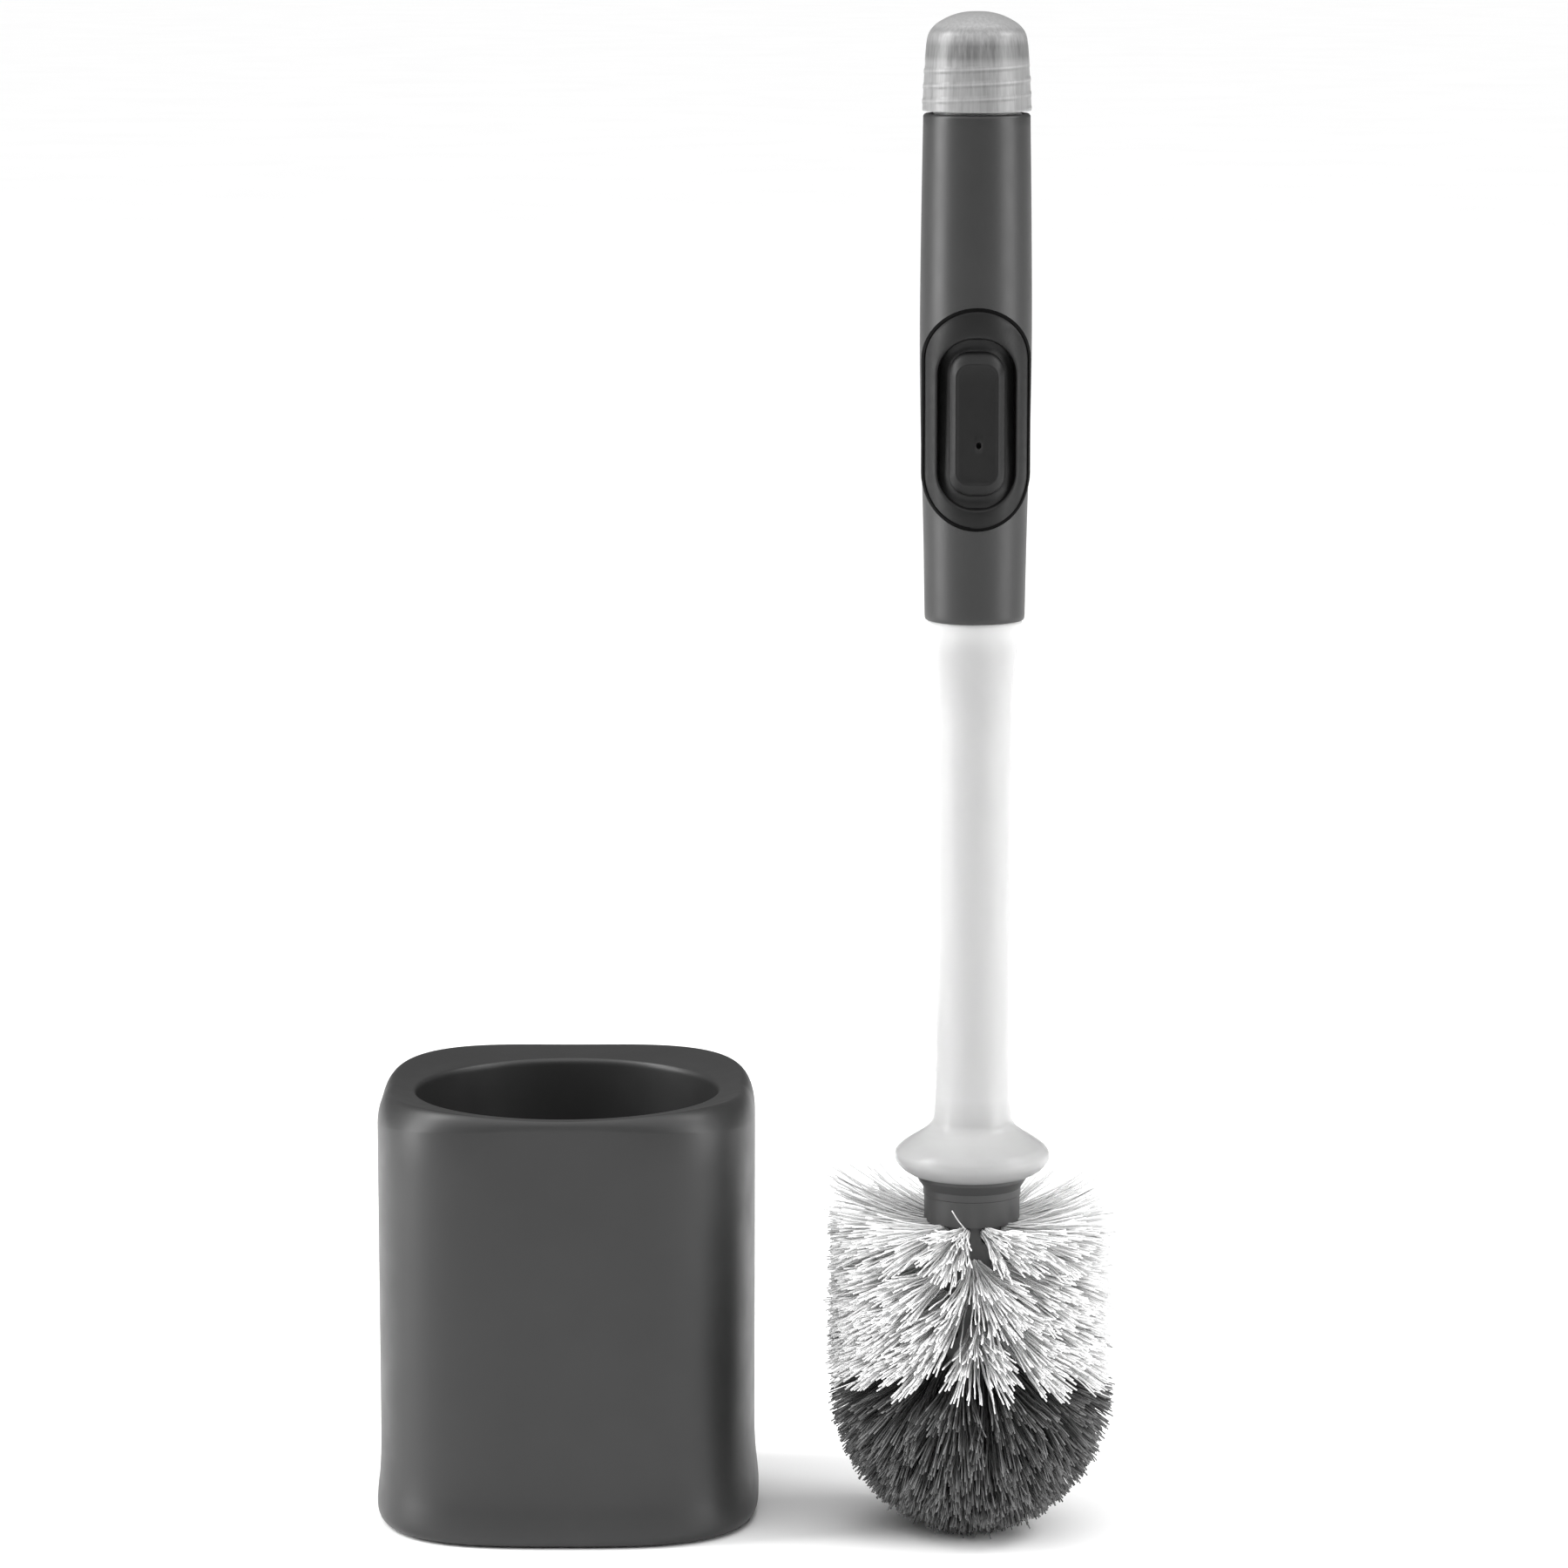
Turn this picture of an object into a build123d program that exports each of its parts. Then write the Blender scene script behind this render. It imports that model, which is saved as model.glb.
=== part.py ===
"""Toilet brush with a soap reservoir and a pump, standing beside its square cup.

Millimetres, +Z up. The origin is the centre of the cup's underside, on the floor.
The brush stands on its bristles, to the right of the cup and a little in front of it.
"""

import os
from math import cos, radians, sin, sqrt

from build123d import *

# ---------------------------------------------------------------- driving sizes
BRUSH_X = 112.7                 # the brush's upright axis
BRUSH_Y = -31.4

# cup
CUP_HEIGHT = 122.4
CUP_HALF = 52.3                 # half the width across the sides, at mid height
CUP_FOOT = [(0.6, 53.0), (4.0, 53.6), (10.0, 53.2), (18.0, 52.5), (26.0, 52.3)]
CUP_WALL = 2.2
CUP_MOUTH_R = 42.4
CUP_TOP_ROUND = 7.0
CUP_MOUTH_ROUND = 1.9
CUP_EDGE_ROUND = 1.6            # round of the foot's outer edge
SIDE_RATIO = 3.346              # radius of a bulged side, over half the width
SIDE_TURN = 8.6                 # degrees of arc each side of a side's middle
BASE_HALF = 49.9
BASE_Z = 1.2                    # underside of the floor plate
BASE_THICK = 3.2
BASE_RIM = (2.0, 4.4)           # wall and height of the plate's upstand
DRIP_RIB = (1.6, 2.4)           # width and height of the ribs that the head drips on
DRIP_RINGS = (18.0, 34.0)
DRIP_CROSS = 80.0
RING_HALF = 46.0                # the rubber ring under the floor plate
RING_WIDTH = 3.0
RING_TOP = 2.3

# brush: radii, and heights above the floor
CORE_R = 11.8
CORE_TOP = 88.7                 # where the collar starts
DOME_Z = 38.0                   # centre of the core's round end
COLLAR_R = 13.2
COLLAR_LIP_R = 15.1
COLLAR_TOP = 101.3
SOCKET_R = 10.5
SOCKET_Z = 90.0
SPIGOT_R = 10.3
SPIGOT_Z = 90.3
VALVE_R = 8.4
VALVE_Z = 94.0                  # shoulder that the valve seats against
BORE_R = 5.0                    # liquid passage in the core
BORE_Z = 44.0
FLANGE_Z = 101.5                # underside of the splash flange
SHAFT_TOP = 255.4               # the lip that the grip stands on
GRIP_TOP = 392.7
NECK_R = 12.4
NECK_BORE_R = 10.6
NECK_TOP = 406.2
BRUSH_HEIGHT = 420.0
CAP_BASE = 393.4
CAP_BORE_R = 12.75
SEAL_TOP = 409.75
GRIP_CURVE = [(13.65, 257.0), (14.12, 282.0), (14.81, 306.0), (15.17, 332.0), (14.9, 365.0), (14.47, 392.1)]
GRIP_WALL = 1.9

# head
HEAD_R = 39.6                   # reach of the upper bristles
HEAD_ROUND_Z = 44.0             # below this the trim is round
TUFTS_PER_ROW = 12
ROW_TURN = -12.0                # where the first tuft of the top row stands, from the front
WHITE_TILT = 22.0               # degrees below level
WHITE_ROWS = [85.5, 76.5, 67.5, 58.5]
GREY_ROWS = [(49.5, 30.0), (41.0, 40.0)]
END_RINGS = [(30.0, 50.0, 8), (60.0, 70.0, 6), (90.0, 90.0, 1)]
HOLE_R = 1.5
HOLE_DEPTH = 4.3
ROOT_R = 1.3
ROOT_DEPTH = 3.1
ROOT_STAND = 1.0                # straight length outside the hole
TIP_R = 4.0
STAPLE = (2.2, 0.35, 1.0)
OUTLET_R = 0.7
OUTLET_Z = 63.0
OUTLETS = 6

# pump: ovals are (height, width), depths are distances in front of the brush's axis
WINDOW_Z = 311.2
WINDOW = (60.4, 28.8)
PAD_Z = 310.0
GROOVE = (46.2, 21.0)
CHAMBER = (44.0, 19.0)
SEAT = (58.0, 26.0)
PAD = (39.2, 15.0)
PAD_CORNER = 6.0
PAD_FACE = 16.0
PAD_SKIN = 1.6
PAD_INNER_R = 12.0
MEMBRANE = (11.8, 12.7)         # inner and outer radius of the curved web
SEAT_R = (9.1, 11.7)
BEZEL_R = 11.75
BEZEL_PROUD = 0.12
INNER_TUBE_R = 9.0
INNER_BORE_R = 7.6
VENT_R = 0.5
VENT_Z = 304.4
PORT_R = 1.2
PORT_Z = 300.0
GAP = 0.15                      # play round a part that only sits in its place
FRONT = 20.0                    # a depth in front of everything

BRUSH_AXIS = Axis((BRUSH_X, BRUSH_Y, 0), (0, 0, 1))
PROFILE = Plane(origin=(BRUSH_X, BRUSH_Y, 0), x_dir=(1, 0, 0), z_dir=(0, -1, 0))

os.makedirs("parts", exist_ok=True)


def keep(builder, name):
    """Label a finished piece and write it to its own file."""
    builder.part.label = name
    export_step(builder.part, f"parts/{name}.step")


# ---------------------------------------------------------------- outlines used again
def soft_square(height, half):
    """A square with bulged sides and wide corners, every joint tangent."""
    side_r = SIDE_RATIO * half
    lean = cos(radians(SIDE_TURN)) - sin(radians(SIDE_TURN))
    corner_r = side_r - (side_r - half) / lean
    corner = (side_r - corner_r) * sin(radians(SIDE_TURN)) * sqrt(2)
    with BuildSketch(Plane.XY.offset(height)) as sketch:
        with BuildLine():
            for quarter in range(4):
                side = radians(90 * quarter)
                diagonal = radians(90 * quarter + 45)
                side_centre = ((half - side_r) * cos(side), (half - side_r) * sin(side))
                corner_centre = (corner * cos(diagonal), corner * sin(diagonal))
                CenterArc(side_centre, side_r, 90 * quarter - SIDE_TURN, 2 * SIDE_TURN)
                CenterArc(corner_centre, corner_r, 90 * quarter + SIDE_TURN, 90 - 2 * SIDE_TURN)
        make_face()
    return sketch.sketch


def lathe(*runs):
    """The half section of a turned piece, as (radius, height) points.

    A list of points is a smooth curve, and single points are joined to it by straight lines.
    """
    with BuildSketch(PROFILE) as sketch:
        with BuildLine():
            end = None
            first = None
            for run in runs:
                points = run if isinstance(run, list) else [run]
                first = first or points[0]
                if end and end != points[0]:
                    Line(end, points[0])
                if len(points) > 1:
                    Spline(*points)
                end = points[-1]
            Line(end, first)
        make_face()
    return sketch.sketch


def inset(points, wall):
    """The same curve, nearer the axis by a wall."""
    return [(radius - wall, height) for radius, height in points]


def front_plane(middle_z, depth):
    """An upright plane in front of the brush's axis, facing forwards, its x axis up."""
    return Plane(origin=(BRUSH_X, BRUSH_Y - depth, middle_z), x_dir=(0, 0, 1), z_dir=(0, -1, 0))


def oval(size, middle_z, depth, play=0.0):
    """An upright oval outline."""
    with BuildSketch(front_plane(middle_z, depth)) as sketch:
        SlotOverall(size[0] - 2 * play, size[1] - 2 * play)
    return sketch.sketch


def pad_outline(depth, grow):
    """The rounded oblong of the pump pad, grown all round."""
    with BuildSketch(front_plane(PAD_Z, depth)) as sketch:
        RectangleRounded(PAD[0] + 2 * grow, PAD[1] + 2 * grow, PAD_CORNER + grow)
    return sketch.sketch


def tuft_plane(azimuth, radius, height, tilt):
    """Where a tuft leaves the core: a plane facing along the tuft."""
    out = (sin(radians(azimuth)), -cos(radians(azimuth)))
    mouth = (BRUSH_X + radius * out[0], BRUSH_Y + radius * out[1], height)
    level = cos(radians(tilt))
    return Plane(
        origin=mouth,
        x_dir=(out[1], -out[0], 0),
        z_dir=(level * out[0], level * out[1], -sin(radians(tilt))),
    )


def reach(radius, height, tilt):
    """Length of a tuft from the core to the trimmed outline of the head."""
    run = cos(radians(tilt))
    drop = sin(radians(tilt))
    if run > 0.01:
        level = (HEAD_R - radius) / run
        if height - level * drop >= HEAD_ROUND_Z:
            return level
    # below HEAD_ROUND_Z the outline is an ellipse that touches the floor
    up = height - HEAD_ROUND_Z
    a = (run / HEAD_R) ** 2 + (drop / HEAD_ROUND_Z) ** 2
    b = radius * run / HEAD_R**2 - up * drop / HEAD_ROUND_Z**2
    c = (radius / HEAD_R) ** 2 + (up / HEAD_ROUND_Z) ** 2 - 1
    return (-b + sqrt(b * b - a * c)) / a


# ---------------------------------------------------------------- cup
with BuildPart() as holder_shell:
    straight_z = CUP_FOOT[-1][0]
    extrude(soft_square(straight_z, CUP_HALF), amount=CUP_HEIGHT - straight_z)
    loft([soft_square(z, half) for z, half in CUP_FOOT], ruled=True)
    fillet(holder_shell.faces().sort_by(Axis.Z)[-1].edges(), CUP_TOP_ROUND)
    fillet(holder_shell.faces().sort_by(Axis.Z)[0].edges(), CUP_EDGE_ROUND)
    extrude(soft_square(0, CUP_HALF - CUP_WALL), amount=CUP_HEIGHT - CUP_WALL, mode=Mode.SUBTRACT)
    with BuildSketch(Plane.XY.offset(CUP_HEIGHT / 2)):
        Circle(CUP_MOUTH_R)
    extrude(amount=CUP_HEIGHT, mode=Mode.SUBTRACT)
    rings = holder_shell.edges().filter_by(GeomType.CIRCLE)
    mouth = rings.filter_by(lambda ring: abs(ring.radius - CUP_MOUTH_R) < 0.1)
    fillet(mouth.sort_by(Axis.Z)[-1], CUP_MOUTH_ROUND)
keep(holder_shell, "holder_shell")

with BuildPart() as holder_base:
    floor_z = BASE_Z + BASE_THICK
    extrude(soft_square(BASE_Z, BASE_HALF), amount=BASE_THICK + BASE_RIM[1])
    extrude(soft_square(floor_z, BASE_HALF - BASE_RIM[0]), amount=BASE_RIM[1], mode=Mode.SUBTRACT)
    for rib_r in DRIP_RINGS:
        with BuildSketch(Plane.XY.offset(floor_z)):
            Circle(rib_r)
            Circle(rib_r - DRIP_RIB[0], mode=Mode.SUBTRACT)
        extrude(amount=DRIP_RIB[1])
    with BuildSketch(Plane.XY.offset(floor_z)):
        Rectangle(DRIP_CROSS, DRIP_RIB[0])
        Rectangle(DRIP_RIB[0], DRIP_CROSS)
    extrude(amount=DRIP_RIB[1])
    # seat of the rubber ring
    extrude(soft_square(BASE_Z, RING_HALF + GAP), amount=RING_TOP - BASE_Z, mode=Mode.SUBTRACT)
    extrude(soft_square(BASE_Z, RING_HALF - RING_WIDTH - GAP), amount=RING_TOP - BASE_Z)
keep(holder_base, "holder_base")

with BuildPart() as base_ring:
    extrude(soft_square(0, RING_HALF), amount=RING_TOP)
    extrude(soft_square(0, RING_HALF - RING_WIDTH), amount=RING_TOP, mode=Mode.SUBTRACT)
keep(base_ring, "base_ring")

# ---------------------------------------------------------------- cap
with BuildPart() as filler_cap:
    side = [(14.7, CAP_BASE), (14.3, 402.0), (13.9, 409.0), (12.9, 414.4)]
    dome = [(12.9, 414.4), (11.2, 416.6), (7.6, 418.7), (0, BRUSH_HEIGHT)]
    revolve(lathe((0, CAP_BASE), side, dome), BRUSH_AXIS)
    revolve(lathe((0, CAP_BASE), (CAP_BORE_R, CAP_BASE), (CAP_BORE_R, SEAL_TOP), (0, SEAL_TOP)),
            BRUSH_AXIS, mode=Mode.SUBTRACT)
    hollow = [(11.7, 411.5), (10.6, 414.6), (7.0, 416.9), (0, 418.2)]
    revolve(lathe((0, SEAL_TOP), (11.7, SEAL_TOP), hollow), BRUSH_AXIS, mode=Mode.SUBTRACT)
keep(filler_cap, "filler_cap")

with BuildPart() as cap_seal:
    with BuildSketch(Plane(origin=(BRUSH_X, BRUSH_Y, NECK_TOP))):
        Circle(CAP_BORE_R - GAP)
    extrude(amount=SEAL_TOP - NECK_TOP)
keep(cap_seal, "cap_seal")

# ---------------------------------------------------------------- grip and pump
with BuildPart() as handle_sleeve:
    inner_curve = inset(GRIP_CURVE[1:-1], GRIP_WALL)
    revolve(
        lathe((11.8, SHAFT_TOP + 0.1), (13.2, SHAFT_TOP + 0.1), GRIP_CURVE, (13.9, GRIP_TOP), (12.6, GRIP_TOP),
              (12.6, GRIP_TOP - 2.5), inner_curve[::-1], (11.8, 266.0)),
        BRUSH_AXIS,
    )
    extrude(oval(WINDOW, WINDOW_Z, 3.0), amount=FRONT, mode=Mode.SUBTRACT)
keep(handle_sleeve, "handle_sleeve")

with BuildPart() as pump_bezel:
    low = WINDOW_Z - WINDOW[0] / 2
    high = WINDOW_Z + WINDOW[0] / 2
    revolve(lathe((BEZEL_R, low), inset(GRIP_CURVE, -BEZEL_PROUD), (BEZEL_R, high + 45)), BRUSH_AXIS)
    extrude(oval(WINDOW, WINDOW_Z, 3.2, GAP), amount=FRONT, mode=Mode.INTERSECT)
    extrude(oval(GROOVE, PAD_Z, 3.0), amount=FRONT, mode=Mode.SUBTRACT)
keep(pump_bezel, "pump_bezel")

with BuildPart() as pump_seat:
    seat_low = WINDOW_Z - SEAT[0] / 2
    seat_high = WINDOW_Z + SEAT[0] / 2
    revolve(
        lathe((SEAT_R[0], seat_low), (SEAT_R[1], seat_low), (SEAT_R[1], seat_high), (SEAT_R[0], seat_high)),
        BRUSH_AXIS,
    )
    extrude(oval(SEAT, WINDOW_Z, 2.0), amount=FRONT, mode=Mode.INTERSECT)
    extrude(oval(CHAMBER, PAD_Z, 1.0), amount=FRONT, mode=Mode.SUBTRACT)
keep(pump_seat, "pump_seat")

with BuildPart() as pump_membrane:
    revolve(
        lathe((MEMBRANE[0], 285.0), (MEMBRANE[1], 285.0), (MEMBRANE[1], 335.0), (MEMBRANE[0], 335.0)),
        BRUSH_AXIS,
    )
    extrude(oval(GROOVE, PAD_Z, 3.0, 0.1), amount=FRONT, mode=Mode.INTERSECT)
    extrude(pad_outline(3.0, 0.3), amount=FRONT, mode=Mode.SUBTRACT)
keep(pump_membrane, "pump_membrane")

with BuildPart() as pump_button:
    extrude(pad_outline(PAD_FACE - 9, 0), amount=9)
    fillet(pump_button.faces().sort_by(Axis.Y)[0].edges(), 2.0)
    revolve(lathe((0, 280.0), (PAD_INNER_R, 280.0), (PAD_INNER_R, 340.0), (0, 340.0)),
            BRUSH_AXIS, mode=Mode.SUBTRACT)
    extrude(pad_outline(PAD_FACE - 9, -2.0), amount=9 - PAD_SKIN, mode=Mode.SUBTRACT)
    with BuildSketch(front_plane(VENT_Z, 0)):
        Circle(VENT_R)
    extrude(amount=FRONT, mode=Mode.SUBTRACT)
keep(pump_button, "pump_button")

# ---------------------------------------------------------------- reservoir
with BuildPart() as reservoir_tube:
    flange = [(15.6, FLANGE_Z), (20.0, 103.7), (21.4, 106.7), (19.6, 109.7), (15.1, 112.6), (11.3, 115.4)]
    shaft = [(11.3, 115.4), (10.43, 127.5), (10.25, 150.0), (10.35, 188.0), (10.5, 227.0),
             (11.1, 240.0), (12.4, 252.0), (13.0, SHAFT_TOP)]
    revolve(
        lathe((0, SPIGOT_Z), (SPIGOT_R, SPIGOT_Z), (SPIGOT_R, FLANGE_Z), flange, shaft, (11.6, SHAFT_TOP),
              (11.6, 263.0), (INNER_TUBE_R, 267.0), (INNER_TUBE_R, 378.0), (NECK_R, 385.0), (NECK_R, NECK_TOP),
              (0, NECK_TOP)),
        BRUSH_AXIS,
    )
    inner_flange = [(12.6, 103.6), (17.6, 105.1), (19.2, 106.9), (17.3, 109.0), (13.2, 111.7), (9.9, 114.6)]
    inner_shaft = [(9.9, 114.6), (9.0, 127.5), (8.85, 150.0), (8.95, 188.0), (9.1, 227.0),
                   (9.7, 240.0), (10.6, 250.0), (10.2, 258.0)]
    revolve(
        lathe((0, SPIGOT_Z), (VALVE_R + 0.2, SPIGOT_Z), (VALVE_R + 0.2, VALVE_Z), (7.6, VALVE_Z), (7.6, 102.8),
              inner_flange, inner_shaft, (10.2, 262.0), (INNER_BORE_R, 266.5), (INNER_BORE_R, 378.6),
              (NECK_BORE_R, 385.8), (NECK_BORE_R, NECK_TOP), (0, NECK_TOP)),
        BRUSH_AXIS,
        mode=Mode.SUBTRACT,
    )
    # air port from the pump chamber
    with BuildSketch(front_plane(PORT_Z, 5.0)):
        Circle(PORT_R)
    extrude(amount=6, mode=Mode.SUBTRACT)
keep(reservoir_tube, "reservoir_tube")

with BuildPart() as dispensing_valve:
    revolve(
        lathe((0, 90.9), (3.2, 91.2), (4.8, 92.3), (VALVE_R, 92.3), (VALVE_R, VALVE_Z), (4.2, VALVE_Z),
              (2.8, 92.6), (0, 92.2)),
        BRUSH_AXIS,
    )
    # the slit that opens under pressure
    with Locations((BRUSH_X, BRUSH_Y, 91.5)):
        Box(5.6, 0.2, 4.0, mode=Mode.SUBTRACT)
keep(dispensing_valve, "dispensing_valve")

with BuildPart() as valve_retainer:
    revolve(lathe((5.4, SPIGOT_Z), (8.5, SPIGOT_Z), (8.5, 92.3), (5.4, 92.3)), BRUSH_AXIS)
keep(valve_retainer, "valve_retainer")

# ---------------------------------------------------------------- head
white_planes = []
for number, height in enumerate(WHITE_ROWS):
    stagger = ROW_TURN + 180 / TUFTS_PER_ROW * (number % 2)
    turns = [stagger + 360 / TUFTS_PER_ROW * k for k in range(TUFTS_PER_ROW)]
    white_planes.append([tuft_plane(turn, CORE_R, height, WHITE_TILT) for turn in turns])

grey_planes = []
grey_lengths = []
for number, (height, tilt) in enumerate(GREY_ROWS):
    stagger = ROW_TURN + 180 / TUFTS_PER_ROW * (number % 2)
    turns = [stagger + 360 / TUFTS_PER_ROW * k for k in range(TUFTS_PER_ROW)]
    grey_planes.append([tuft_plane(turn, CORE_R, height, tilt) for turn in turns])
    grey_lengths.append(reach(CORE_R, height, tilt))
for below, tilt, count in END_RINGS:
    ring_r = CORE_R * cos(radians(below))
    ring_z = DOME_Z - CORE_R * sin(radians(below))
    turns = [ROW_TURN + 360 / count * k for k in range(count)]
    grey_planes.append([tuft_plane(turn, ring_r, ring_z, tilt) for turn in turns])
    grey_lengths.append(reach(ring_r, ring_z, tilt))

all_planes = [plane for row in white_planes + grey_planes for plane in row]

with BuildPart() as brush_core:
    revolve(
        lathe((0, DOME_Z), (CORE_R, DOME_Z), (CORE_R, CORE_TOP), (COLLAR_R, CORE_TOP), (COLLAR_R, 95.7),
              (COLLAR_R + 0.25, 95.9), (COLLAR_R + 0.25, 97.8), (COLLAR_LIP_R, 100.4), (COLLAR_LIP_R, COLLAR_TOP),
              (13.4, COLLAR_TOP), (13.4, 100.2), (SOCKET_R, 100.2), (SOCKET_R, SOCKET_Z), (0, SOCKET_Z)),
        BRUSH_AXIS,
    )
    with Locations((BRUSH_X, BRUSH_Y, DOME_Z)):
        Sphere(CORE_R)
    with BuildSketch(Plane(origin=(BRUSH_X, BRUSH_Y, BORE_Z))):
        Circle(BORE_R)
    extrude(amount=SOCKET_Z - BORE_Z, mode=Mode.SUBTRACT)
    with Locations(*[plane.offset(-HOLE_DEPTH) for plane in all_planes]):
        Cylinder(HOLE_R, HOLE_DEPTH + 4, align=(Align.CENTER, Align.CENTER, Align.MIN), mode=Mode.SUBTRACT)
    outlet_planes = [tuft_plane(360 / OUTLETS * k, BORE_R - 1, OUTLET_Z, 0) for k in range(OUTLETS)]
    with Locations(*outlet_planes):
        Cylinder(OUTLET_R, CORE_R, align=(Align.CENTER, Align.CENTER, Align.MIN), mode=Mode.SUBTRACT)
keep(brush_core, "brush_core")

with BuildPart() as head_gasket:
    revolve(lathe((SPIGOT_R + GAP, 100.2), (13.2, 100.2), (13.2, FLANGE_Z), (SPIGOT_R + GAP, FLANGE_Z)),
            BRUSH_AXIS)
keep(head_gasket, "head_gasket")

with BuildPart() as tuft_staples:
    with Locations(*[plane.offset(GAP - HOLE_DEPTH) for plane in all_planes]):
        Box(*STAPLE, align=(Align.CENTER, Align.CENTER, Align.MIN))
keep(tuft_staples, "tuft_staples")


def tuft_row(planes, length):
    """One row of tufts: each is a straight root and a cone that opens out to the trimmed tips."""
    ends = (Align.CENTER, Align.CENTER, Align.MIN)
    with BuildPart() as row:
        with Locations(*[plane.offset(-ROOT_DEPTH) for plane in planes]):
            Cylinder(ROOT_R, ROOT_DEPTH + ROOT_STAND, align=ends)
        with Locations(*[plane.offset(ROOT_STAND) for plane in planes]):
            Cone(ROOT_R, TIP_R, length - ROOT_STAND, align=ends)
    return row


for number, planes in enumerate(white_planes):
    row = tuft_row(planes, reach(CORE_R, WHITE_ROWS[number], WHITE_TILT))
    keep(row, f"white_tufts_{number + 1}")

for number, planes in enumerate(grey_planes):
    row = tuft_row(planes, grey_lengths[number])
    keep(row, f"grey_tufts_{number + 1}")
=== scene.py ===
"""Looks of the toilet brush and its cup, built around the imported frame.

Blender works in metres. The outlines below are in millimetres, as (distance from the piece's
upright axis, height above the floor), and MM turns them into metres. -Y is the front.
"""

import math

import bmesh
import bpy
import numpy as np
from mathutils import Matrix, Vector


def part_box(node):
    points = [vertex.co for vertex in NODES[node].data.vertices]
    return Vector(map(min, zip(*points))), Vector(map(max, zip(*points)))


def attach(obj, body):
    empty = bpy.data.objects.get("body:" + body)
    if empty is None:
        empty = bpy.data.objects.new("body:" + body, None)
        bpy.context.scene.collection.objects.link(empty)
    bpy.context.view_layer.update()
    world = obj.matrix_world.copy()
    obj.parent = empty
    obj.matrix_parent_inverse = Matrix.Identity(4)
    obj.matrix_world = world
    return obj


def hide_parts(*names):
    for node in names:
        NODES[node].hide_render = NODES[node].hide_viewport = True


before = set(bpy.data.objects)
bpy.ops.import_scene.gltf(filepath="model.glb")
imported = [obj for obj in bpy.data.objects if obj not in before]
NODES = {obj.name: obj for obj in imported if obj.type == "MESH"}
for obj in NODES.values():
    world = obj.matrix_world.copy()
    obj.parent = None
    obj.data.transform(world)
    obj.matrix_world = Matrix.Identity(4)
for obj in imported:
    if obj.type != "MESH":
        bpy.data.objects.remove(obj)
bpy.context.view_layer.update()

MM = 0.001


def box_centre(node):
    """The centre of a CAD node's box, in metres."""
    low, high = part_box(node)
    return (low + high) / 2


CUP = (0.0, 0.0)                    # upright axes, in metres
BRUSH = tuple(box_centre("reservoir_tube")[:2])
THREAD_PITCH = 4.0                  # of the cap's screw, the same as its lift in one turn

# ---------------------------------------------------------------- camera and light
CAMERA_PLACE = (0.0608, -1.7478, 0.4753)    # metres
CAMERA_DIP = 8.785                  # degrees that the view looks down
CAMERA_LENS = 145.8                 # on a sensor 36 mm wide


def add_camera():
    """A long lens 1.75 m in front, a little above the brush's top and looking slightly down."""
    data = bpy.data.cameras.new("camera")
    data.lens = CAMERA_LENS
    data.sensor_width = 36.0
    data.clip_start = 0.05
    data.clip_end = 200.0
    camera = bpy.data.objects.new("camera", data)
    camera.location = CAMERA_PLACE
    camera.rotation_euler = (math.radians(90 - CAMERA_DIP), 0, 0)
    bpy.context.scene.collection.objects.link(camera)
    bpy.context.scene.camera = camera


def add_softbox(name, place, aim, size, power):
    """A rectangular lamp at place that faces aim. Size is (width, height), and power is in watts."""
    data = bpy.data.lights.new(name, "AREA")
    data.shape = "RECTANGLE"
    data.size = size[0]
    data.size_y = size[1]
    data.energy = power
    lamp = bpy.data.objects.new(name, data)
    lamp.location = place
    lamp.rotation_euler = (Vector(aim) - Vector(place)).to_track_quat("-Z", "Z").to_euler()
    bpy.context.scene.collection.objects.link(lamp)


def add_overhead(strength, lean):
    """A very wide, soft lamp above and a little in front, which whitens the floor all over."""
    data = bpy.data.lights.new("overhead", "SUN")
    data.energy = strength
    data.angle = math.radians(90)
    lamp = bpy.data.objects.new("overhead", data)
    lamp.rotation_euler = (math.radians(lean), 0, 0)
    bpy.context.scene.collection.objects.link(lamp)


def add_world(strength):
    """Even white light from all round."""
    world = bpy.data.worlds.new("studio")
    world.use_nodes = True
    back = world.node_tree.nodes["Background"]
    back.inputs["Color"].default_value = (1, 1, 1, 1)
    back.inputs["Strength"].default_value = strength
    bpy.context.scene.world = world


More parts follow.
